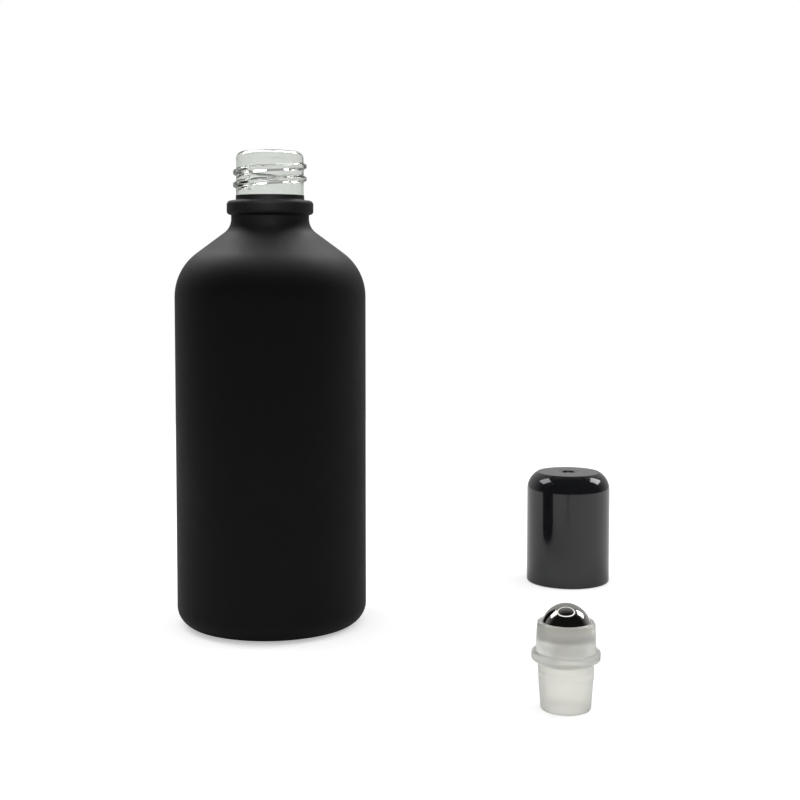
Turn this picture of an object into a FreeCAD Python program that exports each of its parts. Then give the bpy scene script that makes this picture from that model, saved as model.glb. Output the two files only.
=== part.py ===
import FreeCAD, Part
import Sketcher
import math
import os
import re
from collections import namedtuple

# Roll-on bottle taken apart and standing on one surface: a coated glass bottle, a roller
# fitment with its steel ball, and a screw cap. Millimetres and degrees, +Z up, with the
# origin on the surface, under the middle of the whole set.

# Driving dimensions, each set once.
SIZES = {
    # outside of the glass
    "bottle_height": 115.0,
    "body_diameter": 46.0,
    "heel_radius": 4.7,
    "shoulder_radius": 13.1,
    "shoulder_slope": 36.5,
    "neck_fillet": 4.25,
    "neck_straight": 1.1,
    "neck_step": 1.15,
    "bead_reach": 1.05,
    "bead_height": 3.2,
    "bead_upper_round": 0.9,
    "bead_lower_round": 0.7,
    "bead_root_fillet": 0.6,
    "finish_diameter": 16.3,
    "lip_land": 2.35,
    "lip_round": 1.9,
    "lip_inner_round": 0.6,
    "lip_flat": 0.1,
    # inside and underside of the glass
    "glass_wall": 2.5,
    "glass_floor": 4.5,
    "finish_wall": 2.6,
    "inner_heel_radius": 4.0,
    "inner_neck_fillet": 6.0,
    "foot_ring_width": 1.3,
    "push_up_depth": 2.2,
    # screw thread of the neck
    "thread_height": 0.75,
    "thread_pitch": 3.0,
    "thread_turns": 1.75,
    "thread_root_width": 1.9,
    "thread_crest_width": 0.7,
    "thread_rise": 3.45,
    "thread_start_angle": 135.0,
    "thread_bite": 0.4,
    # lacquer film on the glass
    "coat_thickness": 0.12,
    "coat_rise": 1.4,
    "coat_foot": 0.5,
    # ball and its socket
    "ball_diameter": 10.0,
    "ball_clearance": 0.1,
    "ball_sink": 1.55,
    "socket_wall": 0.925,
    "socket_draft": 0.275,
    "socket_height": 5.9,
    "socket_rim_round": 0.5,
    "feed_hole_diameter": 4.0,
    "feed_groove_diameter": 0.9,
    "feed_groove_length": 4.0,
    "feed_groove_count": 4,
    # flange and plug of the fitment
    "flange_overhang": 1.3,
    "flange_step": 0.5,
    "flange_height": 2.4,
    "flange_chamfer": 0.8,
    "flange_round": 0.4,
    "plug_gap": 0.05,
    "plug_length": 9.3,
    "plug_taper": 0.5,
    "plug_end_round": 0.4,
    "plug_wall": 0.9,
    "plug_floor": 1.15,
    "rib_squeeze": 0.08,
    "rib_width": 0.9,
    "rib_drop": 1.1,
    "rib_pitch": 1.35,
    "rib_margin": 0.5,
    # screw cap
    "cap_wall": 2.2,
    "cap_shoulder_radius": 5.5,
    "crown_inset": 2.8,
    "cap_rim_round": 0.5,
    "cap_mouth_chamfer": 0.4,
    "cap_top_wall": 2.2,
    "cap_inner_round": 3.0,
    "cap_bead_gap": 0.5,
    "cap_bore_play": 0.2,
    "cap_thread_gap": 0.3,
    "cap_thread_rise": 2.6,
    "cap_thread_turns": 1.5,
    "press_ring_bore": 5.2,
    "press_ring_wall": 1.0,
    "press_ring_length": 5.48,
    "gate_diameter": 3.6,
    "gate_depth": 0.5,
    "gate_draft": 0.2,
    "nub_diameter": 1.3,
    "nub_height": 0.35,
    # where the loose pieces stand, measured from the bottle's axis
    "cap_right": 78.0,
    "cap_back": 42.0,
    "fitment_right": 64.5,
    "fitment_front": 66.0,
}

RIB_COUNT = 2

# Sizes and places that follow from the driving dimensions.
DERIVED = {
    # radii on the bottle
    "body_radius": "body_diameter / 2",
    "finish_radius": "finish_diameter / 2",
    "neck_radius": "finish_radius + neck_step",
    "bead_radius": "neck_radius + bead_reach",
    "thread_radius": "finish_radius + thread_height",
    "bore_radius": "finish_radius - finish_wall",
    "inner_radius": "body_radius - glass_wall",
    "push_up_reach": "body_radius - heel_radius - foot_ring_width",
    "push_up_radius": "(push_up_reach^2 + push_up_depth^2) / (2 * push_up_depth)",
    "lip_outer_round": "min(lip_round; finish_wall - lip_inner_round - lip_flat)",
    # heights on the bottle
    "finish_height": "thread_rise + thread_turns * thread_pitch + thread_root_width / 2 + lip_land",
    "bead_top": "bottle_height - finish_height",
    "bead_foot": "bead_top - bead_height",
    "thread_start": "bead_top + thread_rise",
    "neck_corner": "bead_foot - neck_straight - neck_fillet * tan((90 - shoulder_slope) / 2)",
    "shoulder_corner": "neck_corner - (body_radius - neck_radius) * tan(shoulder_slope)",
    "slope_skew": "(1 - sin(shoulder_slope)) / cos(shoulder_slope)",
    "inner_floor": "push_up_depth + glass_floor",
    "inner_shoulder_corner": "shoulder_corner - glass_wall * slope_skew",
    "inner_neck_corner":
        "inner_shoulder_corner + (inner_radius - bore_radius) * tan(shoulder_slope)",
    # film on the glass
    "coat_top": "bead_top + coat_rise",
    "heel_axis": "body_radius - heel_radius",
    "heel_rise": "heel_radius - coat_foot",
    # radii on the fitment
    "ball_room": "ball_diameter / 2 + ball_clearance",
    "socket_radius": "ball_room + socket_wall",
    "flange_radius": "max(bore_radius + flange_overhang; socket_radius + flange_step)",
    "plug_radius": "bore_radius - plug_gap",
    "plug_end": "plug_radius - plug_taper",
    "plug_bore": "plug_end - plug_wall",
    "rib_height": "plug_gap + rib_squeeze",
    "rib_arc": "((rib_width / 2)^2 + rib_height^2) / (2 * rib_height)",
    # heights on the fitment, from the plug's lower end
    "straight_foot": f"plug_length - rib_drop - {RIB_COUNT - 1} * rib_pitch - rib_width / 2 - rib_margin",
    "flange_top": "plug_length + flange_height",
    "socket_rim": "flange_top + socket_height",
    "ball_level": "socket_rim - ball_sink",
    "hollow_top": "ball_level - ball_room - plug_floor",
    # radii on the cap
    "cap_bore": "thread_radius + cap_bore_play",
    "cap_crest": "finish_radius + cap_thread_gap",
    "cap_radius": "cap_bore + cap_wall",
    "crown_radius": "cap_radius - crown_inset",
    "press_ring_radius": "press_ring_bore / 2 + press_ring_wall",
    # heights on the cap, from its rim
    "cap_lip_level": "finish_height - cap_bead_gap",
    "cap_ball_level": "cap_lip_level + flange_height + socket_height - ball_sink",
    "press_ring_end": "cap_ball_level + sqrt((ball_diameter / 2)^2 - (press_ring_bore / 2)^2)",
    "cap_ceiling": "press_ring_end + press_ring_length",
    "cap_height": "cap_ceiling + cap_top_wall",
    "cap_shoulder_foot":
        "cap_height - sqrt(cap_shoulder_radius^2 - (cap_shoulder_radius - crown_inset)^2)",
    "gate_floor": "cap_height - gate_depth",
    # the set's middle lies over the origin
    "bottle_x": "(body_radius + coat_thickness - cap_right - cap_radius) / 2",
    "bottle_y": "(fitment_front + flange_radius - cap_back - cap_radius) / 2",
    "cap_x": "bottle_x + cap_right",
    "cap_y": "bottle_y + cap_back",
    "fitment_x": "bottle_x + fitment_right",
    "fitment_y": "bottle_y - fitment_front",
}

ALIAS = re.compile(r"\b(" + "|".join([*SIZES, *DERIVED]) + r")\b")

# A corner of a turned profile at distance x from the axis and height z. A fillet rounds the
# corner itself; an arc bends the edge that arrives at it, turning left or right.
Corner = namedtuple("Corner", "x z fillet arc turn", defaults=(None, None, "left"))

doc = FreeCAD.newDocument("RollOnBottle")
sheet = doc.addObject("Spreadsheet::Sheet", "Sizes")


def fill_sheet():
    """Write the driving dimensions as numbers and the derived ones as formulas."""
    row = 0
    for alias, number in SIZES.items():
        row += 1
        sheet.set(f"A{row}", alias)
        sheet.set(f"B{row}", str(number))
        sheet.setAlias(f"B{row}", alias)
    for alias, formula in DERIVED.items():
        row += 1
        sheet.set(f"A{row}", alias)
        sheet.set(f"B{row}", "=" + formula)
        sheet.setAlias(f"B{row}", alias)
    doc.recompute()


def bound(text):
    """Expression text with every alias pointing into the sheet."""
    return ALIAS.sub(r"Sizes.\1", text)


def value(text):
    """Present number of an expression."""
    return float(sheet.evalExpression(bound(text)))


def origin_plane(body, role):
    """One of the body's own origin planes."""
    return next(item for item in body.Origin.OriginFeatures if item.Role == role)


def new_body(label, x, y):
    """Empty body standing at a place of the layout."""
    body = doc.addObject("PartDesign::Body", label)
    body.Label = label
    body.setExpression("Placement.Base.x", bound(x))
    body.setExpression("Placement.Base.y", bound(y))
    return body


def new_sketch(body, name, role):
    """Empty sketch on one of the body's origin planes."""
    sketch = body.newObject("Sketcher::SketchObject", name)
    sketch.AttachmentSupport = (origin_plane(body, role), [""])
    sketch.MapMode = "FlatFace"
    return sketch


def bind(sketch, constraint, label, text):
    """Add a dimension to a sketch and tie it to the sheet."""
    index = sketch.addConstraint(constraint)
    sketch.renameConstraint(index, label)
    sketch.setExpression("Constraints." + label, bound(text))


def fix_point(sketch, geometry, end, corner, label):
    """Hold a sketch point at a corner's distance and height.

    A sketch numbers its level axis -1, with the origin as that axis's end 1, and its upright axis -2.
    """
    if corner.x == "0":
        sketch.addConstraint(Sketcher.Constraint("PointOnObject", geometry, end, -2))
    else:
        across = Sketcher.Constraint("DistanceX", -1, 1, geometry, end, value(corner.x))
        bind(sketch, across, label + "_x", corner.x)
    if corner.z == "0":
        sketch.addConstraint(Sketcher.Constraint("PointOnObject", geometry, end, -1))
    else:
        above = Sketcher.Constraint("DistanceY", -1, 1, geometry, end, value(corner.z))
        bind(sketch, above, label + "_z", corner.z)


def add_line(sketch, start, end):
    """Straight edge; returns its geometry number, first end and last end."""
    return sketch.addGeometry(Part.LineSegment(start, end), False), 1, 2


def add_arc(sketch, start, end, radius, turn):
    """Arc of less than half a circle; returns its geometry number, first end and last end."""
    middle = (start + end) * 0.5
    chord = end - start
    left = FreeCAD.Vector(-chord.y, chord.x, 0).normalize()
    side = 1 if turn == "left" else -1
    reach = math.sqrt(radius ** 2 - (chord.Length / 2) ** 2)
    centre = middle + left * (side * reach)
    first, last = (start, end) if turn == "left" else (end, start)
    angles = [math.atan2(point.y - centre.y, point.x - centre.x) for point in (first, last)]
    if angles[1] < angles[0]:
        angles[1] += 2 * math.pi
    circle = Part.Circle(centre, FreeCAD.Vector(0, 0, 1), radius)
    number = sketch.addGeometry(Part.ArcOfCircle(circle, *angles), False)
    return (number, 1, 2) if turn == "left" else (number, 2, 1)


def draw_profile(sketch, corners):
    """Closed outline through the corners, with every dimension tied to the sheet."""
    points = [FreeCAD.Vector(value(corner.x), value(corner.z), 0) for corner in corners]
    count = len(corners)
    arrive, leave = list(points), list(points)
    for i, corner in enumerate(corners):
        if corner.fillet:
            back = (points[i - 1] - points[i]).normalize()
            ahead = (points[(i + 1) % count] - points[i]).normalize()
            reach = value(corner.fillet) / math.tan(back.getAngle(ahead) / 2)
            arrive[i] = points[i] + back * reach
            leave[i] = points[i] + ahead * reach
    edges = []
    for i, corner in enumerate(corners):
        if corner.arc:
            edge = add_arc(sketch, leave[i - 1], arrive[i], value(corner.arc), corner.turn)
        else:
            edge = add_line(sketch, leave[i - 1], arrive[i])
        edges.append(edge)
    for i, corner in enumerate(corners):
        label = f"corner{i}"
        edge, _, edge_end = edges[i]
        following, following_start, _ = edges[(i + 1) % count]
        if corner.arc:
            bend = Sketcher.Constraint("Radius", edge, value(corner.arc))
            bind(sketch, bend, label + "_arc", corner.arc)
        if not corner.fillet:
            sketch.addConstraint(
                Sketcher.Constraint("Coincident", edge, edge_end, following, following_start))
            fix_point(sketch, edge, edge_end, corner, label)
            continue
        heading = (points[i] - points[i - 1]).cross(points[(i + 1) % count] - points[i]).z
        turn = "left" if heading > 0 else "right"
        arc, arc_start, arc_end = add_arc(sketch, arrive[i], leave[i], value(corner.fillet), turn)
        sketch.addConstraint(Sketcher.Constraint("Tangent", edge, edge_end, arc, arc_start))
        sketch.addConstraint(Sketcher.Constraint("Tangent", arc, arc_end, following, following_start))
        bend = Sketcher.Constraint("Radius", arc, value(corner.fillet))
        bind(sketch, bend, label + "_fillet", corner.fillet)
        tip = sketch.addGeometry(Part.Point(points[i]), True)
        sketch.addConstraint(Sketcher.Constraint("PointOnObject", tip, 1, edge))
        sketch.addConstraint(Sketcher.Constraint("PointOnObject", tip, 1, following))
        fix_point(sketch, tip, 1, corner, label)


def turn_profile(body, name, corners):
    """Solid turned about the body's axis from a closed profile."""
    sketch = new_sketch(body, name + "_profile", "XZ_Plane")
    draw_profile(sketch, corners)
    solid = body.newObject("PartDesign::Revolution", name)
    solid.Profile = sketch
    solid.ReferenceAxis = (sketch, ["V_Axis"])
    solid.Angle = 360
    doc.recompute()
    return solid


def wind_thread(body, name, root, crest, bite, start, turns):
    """Right-hand thread ridge from its root radius to its crest radius, one pitch a turn."""
    half_root = "thread_root_width / 2"
    half_crest = "thread_crest_width / 2"
    sketch = new_sketch(body, name + "_profile", "XZ_Plane")
    draw_profile(sketch, [
        Corner(bite, f"{start} - {half_root}"),
        Corner(root, f"{start} - {half_root}"),
        Corner(crest, f"{start} - {half_crest}"),
        Corner(crest, f"{start} + {half_crest}"),
        Corner(root, f"{start} + {half_root}"),
        Corner(bite, f"{start} + {half_root}"),
    ])
    upright = FreeCAD.Vector(0, 1, 0)
    turned = FreeCAD.Rotation(upright, value("thread_start_angle"))
    sketch.AttachmentOffset = FreeCAD.Placement(FreeCAD.Vector(), turned)
    sketch.setExpression("AttachmentOffset.Rotation.Angle", bound("thread_start_angle"))
    ridge = body.newObject("PartDesign::AdditiveHelix", name)
    ridge.Profile = sketch
    ridge.ReferenceAxis = (sketch, ["V_Axis"])
    ridge.Mode = "pitch-turns-angle"
    ridge.setExpression("Pitch", bound("thread_pitch"))
    ridge.setExpression("Turns", bound(turns))
    doc.recompute()
    return ridge


def bottle_side(film):
    """Corners up the bottle's outside, from shoulder to finish, grown by a film's thickness."""
    return [
        Corner(f"body_radius + {film}", f"shoulder_corner + {film} * slope_skew",
               fillet=f"shoulder_radius + {film}"),
        Corner(f"neck_radius + {film}", f"neck_corner + {film} * slope_skew",
               fillet=f"neck_fillet - {film}"),
        Corner(f"neck_radius + {film}", f"bead_foot - {film}"),
        Corner(f"bead_radius + {film}", f"bead_foot - {film}",
               fillet=f"bead_lower_round + {film}"),
        Corner(f"bead_radius + {film}", f"bead_top + {film}",
               fillet=f"bead_upper_round + {film}"),
        Corner(f"finish_radius + {film}", f"bead_top + {film}",
               fillet=f"bead_root_fillet - {film}"),
    ]


def make_glass():
    """Glass bottle: push-up base, body, shoulder, bead, threaded neck and plug bore."""
    body = new_body("bottle_glass", "bottle_x", "bottle_y")
    outside = [
        Corner("0", "push_up_depth"),
        Corner("push_up_reach", "0", arc="push_up_radius", turn="right"),
        Corner("body_radius", "0", fillet="heel_radius"),
        *bottle_side("0"),
        Corner("finish_radius", "bottle_height", fillet="lip_outer_round"),
    ]
    inside = [
        Corner("bore_radius", "bottle_height", fillet="lip_inner_round"),
        Corner("bore_radius", "inner_neck_corner", fillet="inner_neck_fillet"),
        Corner("inner_radius", "inner_shoulder_corner", fillet="shoulder_radius - glass_wall"),
        Corner("inner_radius", "inner_floor", fillet="inner_heel_radius"),
        Corner("0", "inner_floor"),
    ]
    turn_profile(body, "glass_wall_turned", outside + inside)
    wind_thread(body, "neck_thread", "finish_radius", "thread_radius",
                "finish_radius - thread_bite", "thread_start", "thread_turns")
    return body


def make_coat():
    """Lacquer film on the outside of the glass, from the heel to above the bead."""
    body = new_body("bottle_coat", "bottle_x", "bottle_y")
    film, bare = "coat_thickness", "0"

    def foot(film):
        """Point of the heel's curve at the film's lower edge."""
        return Corner(f"heel_axis + sqrt((heel_radius + {film})^2 - heel_rise^2)", "coat_foot")

    outside = [
        foot(film),
        Corner(f"body_radius + {film}", "heel_radius", arc=f"heel_radius + {film}"),
        *bottle_side(film),
        Corner(f"finish_radius + {film}", "coat_top"),
    ]
    inside = [
        Corner("finish_radius", "coat_top"),
        *reversed(bottle_side(bare)),
        Corner("body_radius", "heel_radius"),
        foot(bare)._replace(arc="heel_radius", turn="right"),
    ]
    turn_profile(body, "film_turned", outside + inside)
    return body


def make_housing():
    """Roller fitment: hollow plug with ribs, flange, and the socket that traps the ball."""
    body = new_body("roller_housing", "fitment_x", "fitment_y")
    ribs = []
    for i in reversed(range(RIB_COUNT)):
        middle = f"plug_length - rib_drop - {i} * rib_pitch"
        ribs.append(Corner("plug_radius", f"{middle} - rib_width / 2"))
        ribs.append(Corner("plug_radius", f"{middle} + rib_width / 2", arc="rib_arc"))
    turn_profile(body, "housing_turned", [
        Corner("plug_bore", "0"),
        Corner("plug_end", "0", fillet="plug_end_round"),
        Corner("plug_radius", "straight_foot"),
        *ribs,
        Corner("plug_radius", "plug_length"),
        Corner("flange_radius", "plug_length + flange_chamfer", fillet="flange_round"),
        Corner("flange_radius", "flange_top", fillet="flange_round"),
        Corner("socket_radius", "flange_top"),
        Corner("socket_radius - socket_draft", "socket_rim", fillet="socket_rim_round"),
        Corner("feed_hole_diameter / 2", "socket_rim"),
        Corner("feed_hole_diameter / 2", "hollow_top"),
        Corner("plug_bore", "hollow_top"),
    ])
    socket = body.newObject("PartDesign::SubtractiveSphere", "socket")
    socket.AttachmentSupport = (origin_plane(body, "XY_Plane"), [""])
    socket.MapMode = "FlatFace"
    socket.setExpression("AttachmentOffset.Base.z", bound("ball_level"))
    socket.setExpression("Radius", bound("ball_room"))
    doc.recompute()
    sketch = new_sketch(body, "feed_groove_section", "XY_Plane")
    sketch.setExpression("AttachmentOffset.Base.z", bound("ball_level"))
    middle = FreeCAD.Vector(value("ball_room"), 0, 0)
    radius = value("feed_groove_diameter / 2")
    circle = sketch.addGeometry(Part.Circle(middle, FreeCAD.Vector(0, 0, 1), radius), False)
    # a circle's end 3 is its centre
    sketch.addConstraint(Sketcher.Constraint("PointOnObject", circle, 3, -1))
    across = Sketcher.Constraint("DistanceX", -1, 1, circle, 3, middle.x)
    bind(sketch, across, "groove_x", "ball_room")
    bind(sketch, Sketcher.Constraint("Radius", circle, radius), "groove_r", "feed_groove_diameter / 2")
    groove = body.newObject("PartDesign::Pocket", "feed_groove")
    groove.Profile = sketch
    groove.setExpression("Length", bound("feed_groove_length"))
    doc.recompute()
    grooves = body.newObject("PartDesign::PolarPattern", "feed_grooves")
    grooves.Originals = [groove]
    grooves.Axis = (sketch, ["N_Axis"])
    grooves.Angle = 360
    grooves.setExpression("Occurrences", bound("feed_groove_count"))
    body.Tip = grooves
    return body


def make_ball():
    """Steel ball, loose in its socket."""
    ball = doc.addObject("Part::Sphere", "roller_ball")
    ball.Label = "roller_ball"
    ball.setExpression("Radius", bound("ball_diameter / 2"))
    ball.setExpression("Placement.Base.x", bound("fitment_x"))
    ball.setExpression("Placement.Base.y", bound("fitment_y"))
    ball.setExpression("Placement.Base.z", bound("ball_level"))
    return ball


def make_cap():
    """Screw cap: threaded skirt, rounded shoulder, crown with gate mark, and press ring."""
    body = new_body("screw_cap", "cap_x", "cap_y")
    outside = [
        Corner("cap_bore + cap_mouth_chamfer", "0"),
        Corner("cap_radius", "0", fillet="cap_rim_round"),
        Corner("cap_radius", "cap_shoulder_foot"),
        Corner("crown_radius", "cap_height", arc="cap_shoulder_radius"),
        Corner("gate_diameter / 2", "cap_height"),
        Corner("gate_diameter / 2 - gate_draft", "gate_floor"),
        Corner("nub_diameter / 2", "gate_floor"),
        Corner("nub_diameter / 2", "gate_floor + nub_height"),
        Corner("0", "gate_floor + nub_height"),
    ]
    inside = [
        Corner("0", "cap_ceiling"),
        Corner("press_ring_bore / 2", "cap_ceiling"),
        Corner("press_ring_bore / 2", "press_ring_end"),
        Corner("press_ring_radius", "press_ring_end"),
        Corner("press_ring_radius", "cap_ceiling"),
        Corner("cap_bore", "cap_ceiling", fillet="cap_inner_round"),
        Corner("cap_bore", "cap_mouth_chamfer"),
    ]
    turn_profile(body, "cap_turned", outside + inside)
    wind_thread(body, "cap_thread", "cap_bore", "cap_crest", "cap_bore + thread_bite",
                "cap_thread_rise", "cap_thread_turns")
    return body


def check_and_write(pieces):
    """Stop on any failed object or bad shape, then write one file for each piece."""
    doc.recompute()
    failed = [item.Name for item in doc.Objects if {"Invalid", "Error"} & set(item.State)]
    if failed:
        raise RuntimeError("failed objects: " + ", ".join(failed))
    for piece in pieces:
        if piece.Shape.isNull() or not piece.Shape.isValid() or len(piece.Shape.Solids) != 1:
            raise RuntimeError("bad shape: " + piece.Label)
    os.makedirs("parts", exist_ok=True)
    for piece in pieces:
        piece.Shape.exportStep(os.path.join("parts", piece.Label + ".step"))
        box = piece.Shape.optimalBoundingBox()
        print(f"{piece.Label}: {piece.Shape.Volume:.1f} mm3, "
              f"x {box.XMin:.2f} to {box.XMax:.2f}, y {box.YMin:.2f} to {box.YMax:.2f}, "
              f"z {box.ZMin:.2f} to {box.ZMax:.2f}")


fill_sheet()
check_and_write([make_glass(), make_coat(), make_housing(), make_ball(), make_cap()])
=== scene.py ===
import math
from collections import namedtuple

import bmesh
import bpy
from bpy.props import FloatProperty, FloatVectorProperty, IntProperty, PointerProperty
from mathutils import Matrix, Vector, noise


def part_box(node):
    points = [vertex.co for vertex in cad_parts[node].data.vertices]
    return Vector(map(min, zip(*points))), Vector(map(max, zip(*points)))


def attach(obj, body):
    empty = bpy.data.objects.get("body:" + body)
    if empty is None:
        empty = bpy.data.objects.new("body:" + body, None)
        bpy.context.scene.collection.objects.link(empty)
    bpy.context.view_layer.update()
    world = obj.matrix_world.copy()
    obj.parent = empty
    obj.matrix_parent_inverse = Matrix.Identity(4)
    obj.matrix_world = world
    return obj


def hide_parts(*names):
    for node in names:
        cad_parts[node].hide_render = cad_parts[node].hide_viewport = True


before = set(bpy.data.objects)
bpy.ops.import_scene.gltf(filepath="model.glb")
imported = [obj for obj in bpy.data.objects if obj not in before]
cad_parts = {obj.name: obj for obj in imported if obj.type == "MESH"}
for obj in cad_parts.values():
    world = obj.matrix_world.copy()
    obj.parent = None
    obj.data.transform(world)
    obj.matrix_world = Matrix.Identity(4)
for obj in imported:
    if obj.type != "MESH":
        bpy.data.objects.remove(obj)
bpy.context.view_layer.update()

bl_info = {
    "name": "Roll-On Bottle",
    "version": (1, 0, 0),
    "blender": (4, 5, 0),
    "location": "View3D > Sidebar > Roll-On",
    "description": "Lacquered glass bottle with its roller fitment and screw cap, on a pale stage",
    "category": "Object",
}


def node_box(node):
    """Lowest and highest corner of a CAD node at rest."""
    return tuple(Vector(corner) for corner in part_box(node))


def axis_of(low, high):
    """Foot of a piece's upright axis."""
    return Vector(((low.x + high.x) / 2, (low.y + high.y) / 2, low.z))


GLASS_LOW, GLASS_HIGH = node_box("bottle_glass")
HOUSING_LOW, HOUSING_HIGH = node_box("roller_housing")
BALL_LOW, BALL_HIGH = node_box("roller_ball")
CAP_LOW, CAP_HIGH = node_box("screw_cap")
BOTTLE_AXIS = axis_of(GLASS_LOW, GLASS_HIGH)
FITMENT_AXIS = axis_of(HOUSING_LOW, HOUSING_HIGH)
CAP_AXIS = axis_of(CAP_LOW, CAP_HIGH)

# A corner of a turned profile, at radius r and height z. It is rounded by its own radius; rows
# divide the straight run that arrives at it, or about gives the centre of an arc that arrives.
Corner = namedtuple("Corner", "r z round rows about", defaults=(0.0, 1, None))

ARC_STEP = math.radians(4.5)
CREASE = math.radians(38.0)
# Points closer than this, in metres, count as one.
NEAR = 1e-6
UP = (0.0, 0.0, 1.0)
STILL = (0.0, 0.0, 0.0)
WHITE = (1.0, 1.0, 1.0, 1.0)


def length(label, text, default):
    """Length setting, in metres."""
    return FloatProperty(name=label, description=text, default=default, min=0.0, precision=5,
                         unit="LENGTH")


def angle(label, text, default):
    """Angle setting, given in degrees."""
    return FloatProperty(name=label, description=text, default=math.radians(default), subtype="ANGLE")


def share(label, text, default, top=1.0):
    """Plain number setting."""
    return FloatProperty(name=label, description=text, default=default, min=0.0, max=top)


def count(label, text, default, least, most):
    """Whole number setting."""
    return IntProperty(name=label, description=text, default=default, min=least, max=most)


def tint(label, text, default):
    """Colour setting."""
    return FloatVectorProperty(name=label, description=text, default=default, size=3, min=0.0,
                               max=1.0, subtype="COLOR")


class BottleSizes(bpy.types.PropertyGroup):
    """Sizes of the glass bottle and its lacquer."""

    height: length("Height", "Foot to lip", GLASS_HIGH.z - GLASS_LOW.z)
    body_radius: length("Body radius", "Outside of the body", (GLASS_HIGH.x - GLASS_LOW.x) / 2)
    heel_round: length("Heel round", "Rounding between the body and the foot", 0.0047)
    foot_ring: length("Foot ring", "Width of the flat ring that it stands on", 0.0013)
    push_up: length("Push-up", "Rise of the dome in the base", 0.0022)
    notches: count("Foot notches", "Notches round the foot ring", 48, 0, 96)
    notch_depth: length("Notch depth", "Notches round the foot ring", 0.00012)
    shoulder_round: length("Shoulder round", "Rounding from the body to the slope", 0.0131)
    shoulder_slope: angle("Shoulder slope", "Fall of the shoulder from level", 36.5)
    neck_radius: length("Neck radius", "Narrow part under the bead", 0.0093)
    neck_round: length("Neck round", "Sweep from the slope into the neck", 0.00425)
    neck_height: length("Neck height", "Straight part under the bead", 0.0011)
    bead_radius: length("Bead radius", "Transfer bead round the neck", 0.01035)
    bead_height: length("Bead height", "Transfer bead round the neck", 0.0032)
    bead_lower_round: length("Bead lower round", "Lower edge of the bead", 0.0007)
    bead_upper_round: length("Bead upper round", "Upper edge of the bead", 0.0009)
    bead_lower_fillet: length("Bead lower fillet", "Corner between the neck and the bead", 0.00035)
    bead_upper_fillet: length("Bead upper fillet", "Corner between the bead and the finish", 0.0006)
    finish_radius: length("Finish radius", "Wall that carries the thread", 0.00815)
    finish_height: length("Finish height", "Bead to lip", 0.012)
    lip_round: length("Lip round", "Outer edge of the lip", 0.0019)
    lip_edge: length("Lip edge", "Inner edge of the lip", 0.0006)
    bore_radius: length("Bore radius", "Opening that takes the plug", 0.00555)
    wall: length("Wall", "Glass thickness of the body", 0.0025)
    floor: length("Floor", "Glass thickness over the push-up", 0.0045)
    floor_round: length("Floor round", "Inside, from the body to the floor", 0.004)
    throat_round: length("Throat round", "Inside, from the shoulder into the bore", 0.006)
    thread_height: length("Thread height", "Ridge over the finish wall", 0.00075)
    thread_pitch: length("Thread pitch", "Rise of the ridge in a turn", 0.003)
    thread_rise: length("Thread rise", "Bead to the start of the ridge", 0.00345)
    thread_turns: share("Thread turns", "Turns of the ridge", 1.75, top=3.0)
    ripple: length("Ripple", "Unevenness of the blown inner wall", 0.00005)
    film: length("Lacquer film", "Thickness of the lacquer", 0.00012)
    film_rise: length("Lacquer rise", "Upper edge of the lacquer over the bead", 0.0014)
    film_round: length("Lacquer round", "Rounding of the lacquer's upper edge", 0.00008)
    film_foot: length("Lacquer foot", "Lower edge of the lacquer over the floor", 0.0005)
    film_grip: length("Lacquer grip", "Depth of the lacquer's inner face in the glass", 0.00004)


class FitmentSizes(bpy.types.PropertyGroup):
    """Sizes of the roller fitment and its ball."""

    ball_radius: length("Ball radius", "Steel ball", (BALL_HIGH.x - BALL_LOW.x) / 2)
    ball_play: length("Ball play", "Gap between the ball and its socket", 0.0001)
    socket_radius: length("Socket radius", "Outside of the socket at its foot", 0.006025)
    socket_draft: length("Socket draft", "Narrowing of the socket to its rim", 0.000275)
    flange_radius: length("Flange radius", "Ring that sits on the lip",
                          (HOUSING_HIGH.x - HOUSING_LOW.x) / 2)
    flange_height: length("Flange height", "Ring that sits on the lip", 0.0024)
    flange_chamfer: length("Flange chamfer", "Slope under the flange", 0.0008)
    flange_round: length("Flange round", "Edges of the flange", 0.0004)
    plug_radius: length("Plug radius", "Plug under the flange", 0.0055)
    plug_length: length("Plug length", "Plug under the flange", 0.0093)
    plug_taper: length("Plug taper", "Narrowing of the plug to its end", 0.0005)
    plug_straight: length("Plug straight", "Part of the plug above the taper", 0.0034)
    plug_wall: length("Plug wall", "Thickness at the plug's end", 0.0009)
    rib_height: length("Rib height", "Sealing ribs over the plug", 0.00013)
    rib_width: length("Rib width", "Sealing ribs along the plug", 0.0009)
    feed_hole: length("Feed hole", "Radius of the hole under the ball", 0.002)
    seat_floor: length("Seat floor", "Thickness under the lowest point of the ball", 0.00115)
    groove: length("Feed groove", "Radius of the grooves beside the ball", 0.00045)


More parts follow.
